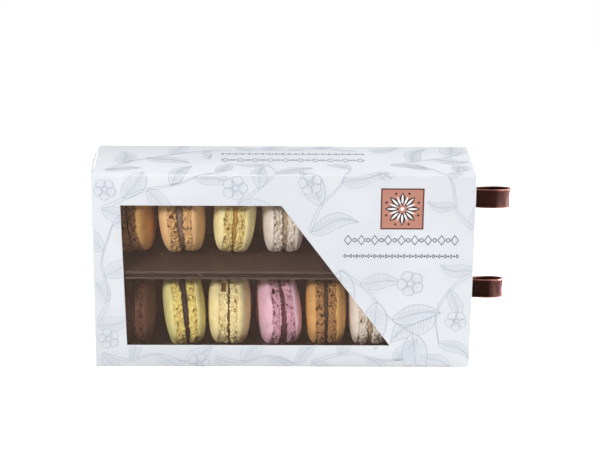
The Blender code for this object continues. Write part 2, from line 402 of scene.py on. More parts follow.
# The shut end's panel is folded round from the front and glued to the back. It bows out between its folds
# and stands a little clear of the top, so that its cut edge shows.
end_plan = []
for step in range(FOLD_STEPS + 1):
    angle = math.pi / 2 * step / FOLD_STEPS
    y = sleeve_low.y + FOLD_RADIUS * (1 - math.cos(angle))
    end_plan.append((tube_low.x - FOLD_RADIUS * math.sin(angle), y, 0.0))
for step in range(1, BOW_STEPS):
    share = step / BOW_STEPS
    y = sleeve_low.y + FOLD_RADIUS + (sleeve_high.y - sleeve_low.y - 2 * FOLD_RADIUS) * share
    end_plan.append((sleeve_low.x, y, math.sin(math.pi * share)))
end_plan += [(x, -y, bow) for x, y, bow in end_plan[FOLD_STEPS::-1]]
end_bm = bmesh.new()
rows = []
for step in range(END_LEVELS + 1):
    share = step / END_LEVELS
    bow = END_BOW_LOW + (END_BOW_TOP - END_BOW_LOW) * share**1.5
    z = END_TRIM + (sleeve_high.z - 2 * END_TRIM) * share
    rows.append([end_bm.verts.new((x - bow * amount, y, z)) for x, y, amount in end_plan])
for near, far in zip(rows, rows[1:]):
    for (a, b), (c, d) in zip(zip(near, near[1:]), zip(far, far[1:])):
        end_bm.faces.new((a, c, d, b))
end_sheet = loose_sheet("end_sheet", end_bm, False)
board_modifier(end_sheet)
add_piece("card_end_panel", smooth(settle(end_sheet), 35), "sleeve", [coated_card, raw_card])

# Print: a fine grey-blue drawing of leafy twigs and blossoms on the card's front, top, back and bottom,
# printed before the sheet is folded. Each line is ink 0.25 mm wide, laid a hair above the board and
# wrapped over its folds.
INK_LIFT = 0.00008
TINT_LIFT = 0.00002
LINE = 0.00025
LAYER = 0.000002
INK_LINE = (176, 182, 196)
INK_TINT = (215, 219, 224)
MM = 0.001
CARD_RUN = 2 * (sleeve_high.z + sleeve_high.y - sleeve_low.y)
INK_LEFT = sleeve_low.x + 0.0012
INK_RIGHT = sleeve_high.x - 0.0003

# The ink stops where the window's cut edge starts to round over.
ink_corners = [tuple(corner) for corner in grown(WINDOW, EDGE_ROUND)]
INK_SIDES = list(zip(ink_corners, ink_corners[1:] + ink_corners[:1]))

# Leaves and petals are drawn at length 1. A line gets its true width at these lengths of a leaf or petal.
LEAF_LINE_AT = 0.025
LEAF_VEIN_AT = 0.044
PETAL_LINE_AT = 0.007
PETAL_VEIN_AT = 0.014


def on_card(along, run, lift):
    """A point of the outside: run goes up the front from its bottom fold, over the top and down the back."""
    tall, deep = sleeve_high.z, sleeve_high.y - sleeve_low.y
    run = run % CARD_RUN
    if run < tall:
        y, z = sleeve_low.y, run
    elif run < tall + deep:
        y, z = sleeve_low.y + run - tall, tall
    elif run < 2 * tall + deep:
        y, z = sleeve_high.y, 2 * tall + deep - run
    else:
        y, z = sleeve_high.y - (run - 2 * tall - deep), 0.0
    inner_y = min(max(y, sleeve_low.y + FOLD_RADIUS), sleeve_high.y - FOLD_RADIUS)
    inner_z = min(max(z, FOLD_RADIUS), tall - FOLD_RADIUS)
    out = Vector((y - inner_y, z - inner_z)).normalized() * (FOLD_RADIUS + lift)
    return Vector((along, inner_y + out.x, inner_z + out.y))


def in_window(along, run):
    """Whether a point of the front lies where the window is cut."""
    return all((x1 - x0) * (run - z0) > (z1 - z0) * (along - x0) for (x0, z0), (x1, z1) in INK_SIDES)


def from_left(points):
    """Points in millimetres from the sleeve's left end and up from the front's bottom fold, as metres."""
    return [(sleeve_low.x + x * MM, run * MM) for x, run in points]


def heading(path, i):
    """The direction of a path of points at one of them."""
    return (path[min(i + 1, len(path) - 1)] - path[max(i - 1, 0)]).normalized()


def stroke(bm, points, width, height=0.0):
    """A flat line of even width through points on the plane, or a few thousandths of a millimetre off it."""
    path = [Vector(p[:2]) for p in points]
    rims = []
    for i, here in enumerate(path):
        run = heading(path, i)
        side = Vector((-run.y, run.x)) * width / 2
        rims.append([bm.verts.new((*(here + side * sign), height)) for sign in (1, -1)])
    for (a, b), (c, d) in zip(rims, rims[1:]):
        bm.faces.new((b, d, c, a))


def field(bm, low_line, high_line, across_count):
    """A filled patch between two lines, split so that it can bend over a fold."""
    rows = []
    for low, high in zip(low_line, high_line):
        low, high = Vector(low[:2]), Vector(high[:2])
        steps = [low.lerp(high, k / across_count) for k in range(across_count + 1)]
        rows.append([bm.verts.new((*step, 0)) for step in steps])
    for near, far in zip(rows, rows[1:]):
        for k in range(across_count):
            bm.faces.new((near[k], far[k], far[k + 1], near[k + 1]))


def drawing(name, bm):
    """A flat drawing as an object that stays out of the scene, to be repeated by a tree."""
    return bpy.data.objects.new(name, finished_mesh(name, bm, False))


def leaf_drawing(name, fatness, curl, lines):
    """A leaf of length 1 along +X: its outline, midrib and veins, or its filled shape."""
    steps = 20
    rib = [(t, curl * math.sin(math.pi * t) * t) for t in (i / steps for i in range(steps + 1))]
    breadth = [fatness * math.sin(math.pi * (i / steps) ** 0.8) ** 0.9 for i in range(steps + 1)]
    sides = [[(x, y + sign * b) for (x, y), b in zip(rib, breadth)] for sign in (1, -1)]
    bm = bmesh.new()
    if lines:
        for side in (*sides, rib):
            stroke(bm, side, LINE / LEAF_LINE_AT)
        for k in range(2, steps - 3):
            for side, reach in zip(sides, (0.86, 0.6) if k % 2 else (0.55, 0.86)):
                (x0, y0), (x1, y1) = rib[k], side[min(k + 3, steps)]
                tip = (x0 + (x1 - x0) * reach, y0 + (y1 - y0) * reach)
                middle = ((x0 + tip[0]) / 2 + 0.012, (y0 + tip[1]) / 2)
                stroke(bm, [(x0, y0), middle, tip], LINE / LEAF_VEIN_AT, LAYER)
    else:
        field(bm, sides[1], sides[0], 6)
    return drawing(name, bm)


def petal_drawing(name, fatness, lines):
    """A rounded petal of length 1 along +X with three fine veins, or its filled shape."""
    steps = 12
    shares = [i / steps for i in range(steps + 1)]
    half = [fatness * math.sin(math.pi * share**1.25) ** 0.7 + 0.02 for share in shares]
    sides = [[(0.18 + 0.82 * s, sign * h) for s, h in zip(shares, half)] for sign in (1, -1)]
    bm = bmesh.new()
    if lines:
        stroke(bm, sides[0] + sides[1][::-1], LINE / PETAL_LINE_AT)
        for turn in (-0.22, 0.0, 0.22):
            stroke(bm, [(0.22 + 0.1 * k, turn * fatness * k) for k in range(5)], LINE / PETAL_VEIN_AT)
    else:
        field(bm, sides[1], sides[0], 4)
    return drawing(name, bm)


def smooth_path(controls, steps):
    """A smooth curve through a few points, as a Catmull-Rom spline."""
    points = [Vector(p) for p in controls]
    points = [2 * points[0] - points[1], *points, 2 * points[-1] - points[-2]]
    path = []
    for a, b, c, d in zip(points, points[1:], points[2:], points[3:]):
        for step in range(steps):
            t = step / steps
            bend = (2 * a - 5 * b + 4 * c - d) * t**2 + (3 * b - a - 3 * c + d) * t**3
            path.append(0.5 * (2 * b + (c - a) * t + bend))
    return [*path, points[-2]]


def path_mesh(points):
    mesh = bpy.data.meshes.new("path")
    mesh.from_pydata([(p[0], p[1], 0) for p in points], [(i, i + 1) for i in range(len(points) - 1)], [])
    return mesh


def open_tree(name, *sockets):
    """A new Geometry Nodes tree with named inputs, and its inputs as numbers by name."""
    tree = bpy.data.node_groups.new(name, "GeometryNodeTree")
    for label, kind in sockets:
        tree.interface.new_socket(label, in_out="INPUT", socket_type=f"NodeSocket{kind}")
    tree.interface.new_socket("Made", in_out="OUTPUT", socket_type="NodeSocketGeometry")
    graph = Graph(tree)
    entry = tree.nodes.new("NodeGroupInput")
    return graph, {socket.name: Number(graph, socket) for socket in entry.outputs if socket.name}


def close_tree(graph, geometry, material):
    """Ends a tree: its instances made real and given their material."""
    real = graph.node("GeometryNodeRealizeInstances", {"Geometry": geometry})
    dressed = graph.node("GeometryNodeSetMaterial", {"Geometry": real, "Material": material})
    graph.tree.links.new(dressed.socket, graph.tree.nodes.new("NodeGroupOutput").inputs[0])
    return graph.tree


def run_tree(tree, source, values):
    """The plain mesh that a tree makes from a source mesh, with its inputs set by name."""
    carrier = put_in_scene("carrier", source)
    modifier = carrier.modifiers.new("tree", "NODES")
    modifier.node_group = tree
    for item in tree.interface.items_tree:
        if item.in_out == "INPUT" and item.name in values:
            modifier[item.identifier] = values[item.name]
    return settle(carrier)


def random_share(graph, low, high, seed):
    """A random number for each instance, between two limits."""
    limits = {"Min_001": low, "Max_001": high, "Seed": seed}
    return graph.node("FunctionNodeRandomValue", limits, "Value_001", data_type="FLOAT")


def turn_flat(graph, angle):
    """A turn about Z."""
    return graph.node("FunctionNodeEulerToRotation", {"Euler": graph.vector(Z=angle)})


def spaced(graph, line, spacing):
    """Points at even spacing along a line of edges."""
    curve = graph.node("GeometryNodeMeshToCurve", {"Mesh": line}, "Curve")
    sockets = {"Curve": curve, "Length": spacing}
    return graph.node("GeometryNodeResampleCurve", sockets, "Curve", mode="LENGTH")


def layered(graph, points):
    """Points each lifted a hair more than the last, so that no two drawings lie in one plane."""
    rise = graph.vector(Z=graph.node("GeometryNodeInputIndex") * (2 * LAYER))
    return graph.node("GeometryNodeSetPosition", {"Geometry": points, "Offset": rise})


def instances(graph, points, source, size, **more):
    """A drawing on each point, or one picked from a collection, at one size in its plane."""
    sockets = {"Points": points, "Instance": source, "Scale": graph.vector(X=size, Y=size, Z=1.0)}
    sockets.update({name.replace("_", " "): value for name, value in more.items()})
    return graph.node("GeometryNodeInstanceOnPoints", sockets)


def members(graph, collection):
    parts = {"Collection": collection, "Separate Children": True, "Reset Children": True}
    return graph.node("GeometryNodeCollectionInfo", parts)


def twig_tree():
    """Leaves in turn on either side of a twig, of uneven size and lean, from a collection of drawings."""
    graph, given = open_tree(
        "leaves_on_twig", ("Twig", "Geometry"), ("Leaves", "Collection"), ("Spacing", "Float"),
        ("Leaf length", "Float"), ("Lean", "Float"), ("Seed", "Int"), ("Ink", "Material"),
    )
    joints = spaced(graph, given["Twig"], given["Spacing"])
    along = {"Vector": graph.node("GeometryNodeInputTangent")}
    turned = graph.node("FunctionNodeAlignRotationToVector", along, "Rotation", axis="X", pivot_axis="Z")
    side = graph.maths("MODULO", graph.node("GeometryNodeInputIndex"), 2.0) * 2.0 - 1.0
    lean = side * given["Lean"] * random_share(graph, 0.7, 1.2, given["Seed"])
    swing = {"Rotation": turned, "Rotate By": turn_flat(graph, lean)}
    final = graph.node("FunctionNodeRotateRotation", swing, rotation_space="LOCAL")
    length = given["Leaf length"] * random_share(graph, 0.72, 1.12, given["Seed"] + 7.0)
    kinds = {"Min_002": 0, "Max_002": len(LEAF_KINDS) - 1, "Seed": given["Seed"] + 13.0}
    pick = graph.node("FunctionNodeRandomValue", kinds, "Value_002", data_type="INT")
    placed = instances(
        graph, layered(graph, joints), members(graph, given["Leaves"]), length,
        Pick_Instance=True, Instance_Index=pick, Rotation=final,
    )
    return close_tree(graph, placed, given["Ink"])


def ring_tree():
    """A motif repeated on a ring, turned to face outwards: petals, dots or rays."""
    graph, given = open_tree(
        "motif_round_ring", ("Base", "Geometry"), ("Motif", "Object"), ("Count", "Int"), ("Radius", "Float"),
        ("Size", "Float"), ("Turn", "Float"), ("Ink", "Material"),
    )
    circle = graph.node("GeometryNodeMeshCircle", {"Vertices": given["Count"], "Radius": given["Radius"]})
    angle = graph.maths("DIVIDE", 2 * math.pi, given["Count"]) * graph.node("GeometryNodeInputIndex")
    motif = graph.node("GeometryNodeObjectInfo", {"Object": given["Motif"]}, "Geometry")
    placed = instances(graph, layered(graph, circle), motif, given["Size"], Rotation=turn_flat(graph, angle))
    whole = {"Geometry": placed, "Rotation": turn_flat(graph, given["Turn"])}
    return close_tree(graph, graph.node("GeometryNodeTransform", whole), given["Ink"])


def flat_ink(name, colour, roughness=0.45):
    ink = Finish(name)
    pale = [channel + 6 for channel in colour]
    tone = ink.mix(ink.noise(0.003, 3.0), seen(colour), seen(pale))
    return ink.set(Base_Color=tone, Roughness=roughness, Specular_IOR_Level=0.35)


def printed(name, drawings, material, lift, keep_clear=()):
    """Wraps flat drawings over the card, less what falls in the window, past the card or on a kept place."""
    bm = bmesh.new()
    for mesh in drawings:
        bm.from_mesh(mesh)
    cuts = [((INK_LEFT, 0), (1, 0)), ((INK_RIGHT, 0), (1, 0))]
    for (x0, z0), (x1, z1) in INK_SIDES:
        cuts.append(((x0, z0), (z1 - z0, x0 - x1)))
    for point, normal in cuts:
        everything = [*bm.verts, *bm.edges, *bm.faces]
        line = Vector((*normal, 0)).normalized()
        bmesh.ops.bisect_plane(bm, geom=everything, plane_co=(*point, 0), plane_no=line, dist=1e-7)
    doomed = []
    for face in bm.faces:
        x, run, _ = face.calc_center_median()
        outside = not INK_LEFT < x < INK_RIGHT
        kept = any(x0 < x < x1 and run0 < run < run1 for (x0, run0), (x1, run1) in keep_clear)
        if outside or kept or (0 < run < sleeve_high.z and in_window(x, run)):
            doomed.append(face)
    bmesh.ops.delete(bm, geom=doomed, context="FACES")
    for vert in bm.verts:
        vert.co = on_card(vert.co.x, vert.co.y, lift + vert.co.z)
    return add_piece(name, finished_mesh(name, bm, False), "sleeve", [material])


line_ink = flat_ink("line_ink", INK_LINE)
leaf_tint = flat_ink("leaf_tint", INK_TINT)

# Leaves: breadth as a share of length, and curl.
LEAF_KINDS = ((0.20, 0.12), (0.25, -0.16), (0.18, 0.24), (0.23, -0.05))
PETAL_BREADTH = 0.42
leaf_lines = bpy.data.collections.new("leaf_lines")
leaf_tints = bpy.data.collections.new("leaf_tints")
for kind, (fatness, curl) in enumerate(LEAF_KINDS):
    leaf_lines.objects.link(leaf_drawing(f"leaf_line_{kind}", fatness, curl, True))
    leaf_tints.objects.link(leaf_drawing(f"leaf_tint_{kind}", fatness, curl, False))
petal_line = petal_drawing("petal_line", PETAL_BREADTH, True)
petal_tint = petal_drawing("petal_tint", PETAL_BREADTH, False)

# Twigs: the points that each passes, in millimetres from the sleeve's left end and up from the front's
# bottom fold, over the top (121 to 181) and down the back (181 to 302). The last number is leaf length.
TWIGS = [
    ([(1, 26), (9, 46), (5, 66), (12, 90)], 17.0),
    ([(6, 100), (30, 111), (52, 116), (74, 126)], 19.0),
    ([(86, 103), (98, 113), (108, 124), (104, 140)], 19.0),
    ([(128, 86), (134, 102), (146, 116), (152, 134)], 20.0),
    ([(224, 88), (214, 100), (211, 116), (200, 134)], 11.5),
    ([(176, 142), (192, 150), (208, 156), (224, 170)], 19.0),
    ([(8, 130), (20, 146), (38, 158), (60, 168)], 19.0),
    ([(84, 176), (110, 172), (136, 175), (164, 168)], 15.0),
    ([(146, 62), (162, 50), (174, 34), (190, 22)], 22.0),
    ([(226, 62), (212, 50), (204, 34), (206, 16)], 21.0),
    ([(130, 3), (152, 9), (172, 4), (196, 7)], 16.0),
    ([(4, 8), (20, 4), (36, 8), (54, 3)], 15.0),
    ([(72, 6), (88, 3), (104, 7), (120, 2)], 15.0),
    ([(20, 196), (44, 214), (58, 240), (86, 256)], 22.0),
    ([(120, 192), (132, 216), (124, 244), (140, 270)], 22.0),
    ([(206, 194), (190, 216), (196, 244), (180, 268)], 22.0),
    ([(14, 290), (44, 280), (76, 290), (104, 282)], 20.0),
    ([(20, 320), (60, 334), (100, 326), (140, 338)], 20.0),
    ([(170, 330), (190, 322), (206, 332), (220, 324)], 18.0),
]
# Blossoms: place as above, and the length of a petal.
BLOSSOMS = [
    (84, 113, 7.5), (8, 112, 6.5), (128, 116, 7.0), (170, 122, 7.0), (217, 136, 6.0), (188, 54, 8.0),
    (157, 26, 7.5), (62, 2, 6.5), (216, 30, 6.5), (8, 18, 6.5), (104, 222, 9.0), (164, 250, 9.0),
    (36, 262, 9.0), (216, 230, 8.0), (150, 326, 8.0), (70, 158, 6.5),
]
TWIG_STEPS = 14
TWIG_SPACING = 0.0140
TWIG_BREADTH = 0.0021
TWIG_TAPER = 0.85
LEAF_SCALE = 1.4 * MM
LEAF_LEAN = math.radians(50)
TWIG_SEED = 11
TWIG_LEVELS = 22
PETALS = 5
BLOSSOM_TURN = 0.9

# Kept free of twigs: round the emblem, round the two ornament bands, and round those on the top.
KEPT_PLACES = [from_left(pair) for pair in (
    ((163, 82), (197, 119)), ((142, 66), (222, 88)), ((69, 143), (167, 170)),
)]

twigs = twig_tree()
rings = ring_tree()
line_drawings = []
tint_drawings = []
sprig_kinds = ((line_drawings, leaf_lines, line_ink), (tint_drawings, leaf_tints, leaf_tint))
flower_kinds = ((line_drawings, petal_line, line_ink), (tint_drawings, petal_tint, leaf_tint))
stems = bmesh.new()
for number, (points, leaf_length) in enumerate(TWIGS):
    path = smooth_path(from_left(points), TWIG_STEPS)
    length = leaf_length * LEAF_SCALE
    values = {"Spacing": TWIG_SPACING, "Leaf length": length, "Lean": LEAF_LEAN, "Seed": TWIG_SEED + number}
    height = TWIG_LEVELS * (number % 3) * LAYER
    for drawings, leaves, ink in sprig_kinds:
        sprig = run_tree(twigs, path_mesh(path), {**values, "Leaves": leaves, "Ink": ink})
        sprig.transform(Matrix.Translation((0, 0, height)))
        drawings.append(sprig)
    for sign in (1, -1):
        edge = []
        for i, here in enumerate(path):
            run = heading(path, i)
            half = TWIG_BREADTH * (1 - TWIG_TAPER * i / len(path)) * sign / 2
            edge.append((here.x - run.y * half, here.y + run.x * half))
        stroke(stems, edge, LINE, -LAYER * (1 + number % 3))
line_drawings.append(finished_mesh("stems", stems, False))

for number, (x, run, length) in enumerate(BLOSSOMS):
    (centre,) = from_left([(x, run)])
    values = {"Count": PETALS, "Radius": 0.0, "Size": length * MM, "Turn": BLOSSOM_TURN * number}
    height = TWIG_LEVELS * (3 + number % 2) * LAYER
    for drawings, motif, ink in flower_kinds:
        flower = run_tree(rings, bpy.data.meshes.new("base"), {**values, "Motif": motif, "Ink": ink})
        flower.transform(Matrix.Translation((*centre, height)))
        drawings.append(flower)
printed("print_lines", line_drawings, line_ink, INK_LIFT, KEPT_PLACES)
printed("print_tints", tint_drawings, leaf_tint, TINT_LIFT, KEPT_PLACES)

# Emblem and ornament bands: a square of copper ink with a dark frame and a plain rosette on the front, and
# rows of lozenges and dots in navy ink below it. The top carries the same bands, turned to face the back.
EMBLEM_MIDDLE = (182.0, 100.6)
EMBLEM_HALF = 12.7
EMBLEM_FRAME = 0.85
EMBLEM_EYE = 1.15
COPPER = (187, 129, 112)
FRAME_BROWN = (94, 53, 51)
DEEP_BROWN = (58, 32, 28)
PAPER_WHITE = (238, 236, 234)
NAVY = (62, 64, 82)
GROUND_LIFT, FRAME_LIFT, DARK_LIFT, WHITE_LIFT = (0.00003, 0.00005, 0.00007, 0.00009)

# Bands: left end, middle height, length and height in millimetres from the left and up from the fold.
BANDS = [
    (147.2, 81.2, 69.6, 6.6),
    (147.2, 71.2, 69.6, 3.2),
    (74.0, 151.0, 88.0, 7.4),
    (74.0, 163.6, 88.0, 3.6),
]


def square(bm, half):
    field(bm, [(-half, -half), (half, -half)], [(-half, half), (half, half)], 1)


def outline_square(bm, half, width):
    inner = half - width
    for (x0, y0), (x1, y1) in zip(SQUARE, SQUARE[1:] + SQUARE[:1]):
        outer = [(x0 * half, y0 * half), (x1 * half, y1 * half)]
        field(bm, outer, [(x0 * inner, y0 * inner), (x1 * inner, y1 * inner)], 1)


def disc(bm, radius, sides=20):
    angles = [2 * math.pi * i / sides for i in range(sides)]
    bm.faces.new([bm.verts.new((radius * math.cos(a), radius * math.sin(a), 0)) for a in angles])


def pointed_petal(bm, fatness, start):
    """A pointed petal along +X, from a share of its length to 1."""
    shares = [i / 14 for i in range(15)]
    half = [fatness * math.sin(math.pi * share**0.9) for share in shares]
    sides = [[(start + (1 - start) * s, sign * h) for s, h in zip(shares, half)] for sign in (1, -1)]
    field(bm, sides[1], sides[0], 2)


def ring_motif(bm, rx, ry, sides, line):
    """An outlined round or lozenge of half sizes rx and ry."""
    rim = [2 * math.pi * i / sides for i in range(sides + 1)]
    outer = [(rx * math.cos(a), ry * math.sin(a)) for a in rim]
    inner = [((rx - line) * math.cos(a), (ry - line * ry / rx) * math.sin(a)) for a in rim]
    field(bm, inner, outer, 1)


def drawn(shape, *sizes):
    """A bmesh with one shape drawn in it."""
    bm = bmesh.new()
    shape(bm, *sizes)
    return bm


def on_emblem(mesh):
    (middle,) = from_left([EMBLEM_MIDDLE])
    mesh.transform(Matrix.Translation((*middle, 0)) @ Matrix.Scale(MM, 4))
    return mesh


def emblem_shape(name, shape, *sizes):
    return on_emblem(finished_mesh(name, drawn(shape, *sizes), False))


def emblem_ring(motif, radius, size, turn, ink):
    values = {"Motif": motif, "Count": 8, "Radius": radius, "Size": size, "Turn": turn, "Ink": ink}
    return on_emblem(run_tree(rings, bpy.data.meshes.new("base"), values))


copper_ink = flat_ink("copper_ink", COPPER, 0.4)
frame_ink = flat_ink("frame_ink", FRAME_BROWN, 0.4)
dark_ink = flat_ink("dark_ink", DEEP_BROWN, 0.4)
white_ink = flat_ink("white_ink", PAPER_WHITE, 0.4)
navy_ink = flat_ink("navy_ink", NAVY, 0.4)
broad_petal = drawing("broad_petal", drawn(pointed_petal, 0.17, 0.20))
slim_petal = drawing("slim_petal", drawn(pointed_petal, 0.07, 0.32))
dot = drawing("dot", drawn(disc, 1.0))

printed("emblem_ground", [emblem_shape("ground", square, EMBLEM_HALF)], copper_ink, GROUND_LIFT)
border = emblem_shape("border", outline_square, EMBLEM_HALF, EMBLEM_FRAME)
printed("emblem_frame", [border], frame_ink, FRAME_LIFT)
printed("emblem_dark", [
    emblem_ring(broad_petal, 0.0, 10.4, 0.0, dark_ink),
    emblem_ring(dot, 10.2, 0.7, math.pi / 8, dark_ink),
], dark_ink, DARK_LIFT)
printed("emblem_white", [
    emblem_ring(slim_petal, 0.0, 9.4, 0.0, white_ink),
    emblem_ring(slim_petal, 0.0, 8.4, math.pi / 8, white_ink),
    emblem_shape("eye", disc, EMBLEM_EYE),
], white_ink, WHITE_LIFT)


def band_tree():
    """Motifs in turn along a straight line, at even spacing."""
    graph, given = open_tree(
        "motifs_on_band", ("Line", "Geometry"), ("Motifs", "Collection"), ("Spacing", "Float"),
        ("Size", "Float"), ("Kinds", "Int"), ("Ink", "Material"),
    )
    spots = spaced(graph, given["Line"], given["Spacing"])
    pick = graph.maths("MODULO", graph.node("GeometryNodeInputIndex"), given["Kinds"])
    source = members(graph, given["Motifs"])
    placed = instances(graph, spots, source, given["Size"], Pick_Instance=True, Instance_Index=pick)
    return close_tree(graph, placed, given["Ink"])


def motif_collection(name, motifs):
    """A pair of ring motifs, which the tree takes in the order of their names."""
    group = bpy.data.collections.new(name)
    for motif, sizes in motifs.items():
        group.objects.link(drawing(motif, drawn(ring_motif, *sizes)))
    return group


big_motifs = motif_collection("big_motifs", {
    "a_lozenge": (0.36, 0.5, 4, 0.075), "b_round": (0.2, 0.2, 20, 0.07),
})
small_motifs = motif_collection("small_motifs", {
    "c_lozenge": (0.30, 0.46, 4, 0.14), "d_dot": (0.17, 0.17, 10, 0.165),
})
bands = band_tree()
band_drawings = []
for number, (left, middle, length, height) in enumerate(BANDS):
    start, stop = from_left([(left + height / 2, middle), (left + length - height / 2, middle)])
    motifs, pitch = ((big_motifs, 0.62), (small_motifs, 0.55))[number % 2]
    count = 2 * round((stop[0] - start[0]) / (height * pitch * MM) / 2)
    spacing = (stop[0] - start[0]) / count * 0.9999
    values = {"Motifs": motifs, "Spacing": spacing, "Size": height * MM, "Kinds": 2, "Ink": navy_ink}
    band_drawings.append(run_tree(bands, path_mesh([start, stop]), values))
printed("ornament_bands", band_drawings, navy_ink, INK_LIFT)

# Window film: a clear sheet glued inside the card behind the window. It is almost invisible, with a little
# dust. Its faint warm tint is painted light, a haze that lifts the shade in the tray's gaps behind the
# window.
# The CAD node stays and gets the finish.
FILM_HAZE_ALPHA = 0.028
FILM_LIGHT_HAZE_TINT = (230, 192, 173)
DUST_ALPHA = 0.35

clear = Finish("clear_film")
clear.material.blend_method = "HASHED"
dust = clear.sharpen(clear.noise(0.0011, 1.0), 0.80, 0.84) * clear.sharpen(clear.noise(0.02, 1.0), 0.5, 0.6)
# Alpha and tint: the painted warm haze of light over all that is behind the window, denser at the dust
# specks.
film_clear = clear.set(Base_Color=seen(FILM_LIGHT_HAZE_TINT), Roughness=0.06, Alpha=FILM_HAZE_ALPHA + DUST_ALPHA * dust)
film_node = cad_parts["window_film"]
film_node.data.materials.clear()
film_node.data.materials.append(film_clear)

# Trays: two drawers vacuum-formed from brown sheet 0.6 mm thick, lying on their long sides with the open
# front to the window. Every edge is round from the mould, and the flange is turned back all round.
TRAY_WALL = 0.0006
TRAY_FLANGE = 0.0024
TRAY_LIP = 0.0040
TRAY_DRAFT = math.radians(3.06)
TRAY_CORNER = 0.003
TRAY_CORNER_STEPS = 8
TRAY_FLOOR_ROUND = 0.0020
TRAY_FLOOR_EDGE = 0.008
TRAY_MOUTH_ROUND = 0.0012
TRAY_RIM_ROUND = 0.0006
TRAY_BEAD = 0.00078
TRAY_CHANNEL = 0.0024
TRAY_BROWN = (68, 52, 45)
TRAY_DARK = (52, 39, 34)


def wall_inset(depth, outside):
    """How far the wall stands in from the flange's outer edge, at a depth behind the flange's front."""
    return TRAY_FLANGE - (TRAY_WALL if outside else 0.0) + depth * math.tan(TRAY_DRAFT)


def rounded_profile(corners, steps):
    """A line through corners given as (x, y, radius), with an arc at each inner one."""
    points = [Vector(corners[0][:2])]
    for before, (x, y, radius), after in zip(corners, corners[1:], corners[2:]):
        here = Vector((x, y))
        back = (Vector(before[:2]) - here).normalized()
        on = (Vector(after[:2]) - here).normalized()
        half = back.angle(on) / 2
        reach = radius / math.tan(half)
        centre = here + (back + on).normalized() * radius / math.sin(half)
        first, last = here + back * reach - centre, here + on * reach - centre
        sweep = first.angle_signed(last)
        for step in range(steps + 1):
            turn = Matrix.Rotation(-sweep * step / steps, 2)
            points.append(centre + turn @ first)
    points.append(Vector(corners[-1][:2]))
    return points


def tray_ring(low, high, inset, y):
    """A tray's outline at one depth, set in from its flange's outer edge."""
    reach = inset + TRAY_CORNER
    centres = [
        (high.x - reach, high.z - reach), (low.x + reach, high.z - reach),
        (low.x + reach, low.z + reach), (high.x - reach, low.z + reach),
    ]
    ring = []
    for quarter, (x, z) in enumerate(centres):
        for step in range(TRAY_CORNER_STEPS + 1):
            angle = math.pi / 2 * (quarter + step / TRAY_CORNER_STEPS)
            ring.append((x + TRAY_CORNER * math.cos(angle), y, z + TRAY_CORNER * math.sin(angle)))
    return ring


plastic = Finish("tray_plastic")
grain = plastic.noise(0.0007, 3.0, (14, 1, 1))
swirl = plastic.noise(0.03, 2.0, (3, 1, 1))
streaks = plastic.sharpen(grain * 0.5 + swirl * 0.5, 0.3, 0.7)
tray_plastic = plastic.set(
    Base_Color=plastic.mix(streaks, seen(TRAY_DARK), seen(TRAY_BROWN)),
    Roughness=0.34 + 0.12 * grain,
    Normal=plastic.bump(grain + 0.4 * swirl, 0.15, 0.00008),
    Specular_IOR_Level=0.5,
)

for row in ("lower", "upper"):
    low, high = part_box(f"tray_{row}")
    depth = high.y - low.y
    floor = depth - TRAY_WALL
    lip_inner = TRAY_WALL * 0.7
    bead_inner = TRAY_BEAD + TRAY_WALL
    sharp = TRAY_WALL * 0.2
    corners = [
        (wall_inset(floor, False) + TRAY_FLOOR_EDGE, floor, 0),
        (wall_inset(floor, False), floor, TRAY_FLOOR_ROUND),
        (wall_inset(0, False), 0, TRAY_MOUTH_ROUND),
        (TRAY_BEAD, 0, TRAY_RIM_ROUND * 0.6),
        (TRAY_BEAD, TRAY_CHANNEL, TRAY_WALL * 0.3),
        (0, TRAY_CHANNEL + TRAY_WALL, TRAY_WALL * 0.3),
        (0, TRAY_LIP, sharp),
        (lip_inner, TRAY_LIP, sharp),
        (lip_inner, TRAY_CHANNEL + TRAY_WALL * 1.6, sharp),
        (bead_inner, TRAY_CHANNEL, sharp),
        (bead_inner, TRAY_WALL, sharp),
        (wall_inset(TRAY_WALL, True), TRAY_WALL, sharp),
        (wall_inset(depth, True), depth, TRAY_FLOOR_ROUND + TRAY_WALL),
        (wall_inset(depth, True) + TRAY_FLOOR_EDGE, depth, 0),
    ]
    tray_rings = [tray_ring(low, high, inset, low.y + y) for inset, y in rounded_profile(corners, 5)]
    tray_mesh = smooth(finished_mesh(f"formed_tray_{row}", loft(tray_rings)), 40)
    add_piece(f"formed_tray_{row}", tray_mesh, f"drawer_{row}", [tray_plastic], [f"tray_{row}"])

# Ribbon pulls: brown satin ribbon 12 mm wide with a woven edge, its two ends turned out and glued to the
# tray's end wall, and standing out of the sleeve as a loop.
RIBBON_WIDTH = 0.012
RIBBON_THICKNESS = 0.0005
RIBBON_TAB = 0.007
RIBBON_BEND = 0.0012
RIBBON_HALF_OPENING = 0.0045
RIBBON_FULLNESS = 1.2
RIBBON_FIRST_TURN = 0.35
RIBBON_TURNS = 30
RIBBON_GAP = 0.0003
RIBBON_SHARES = [i / 24 for i in range(25)]
EDGE_SWELL = 1.25
EDGE_RIPPLE = 0.0001
RIBBON_CUP = 0.00025
SATIN = (46, 21, 18)
SATIN_DEEP = (15, 6, 5)
SELVEDGE = (150, 96, 84)
SATIN_SHEEN = 0.85
WARP = 0.00022
PICOT = 0.0013

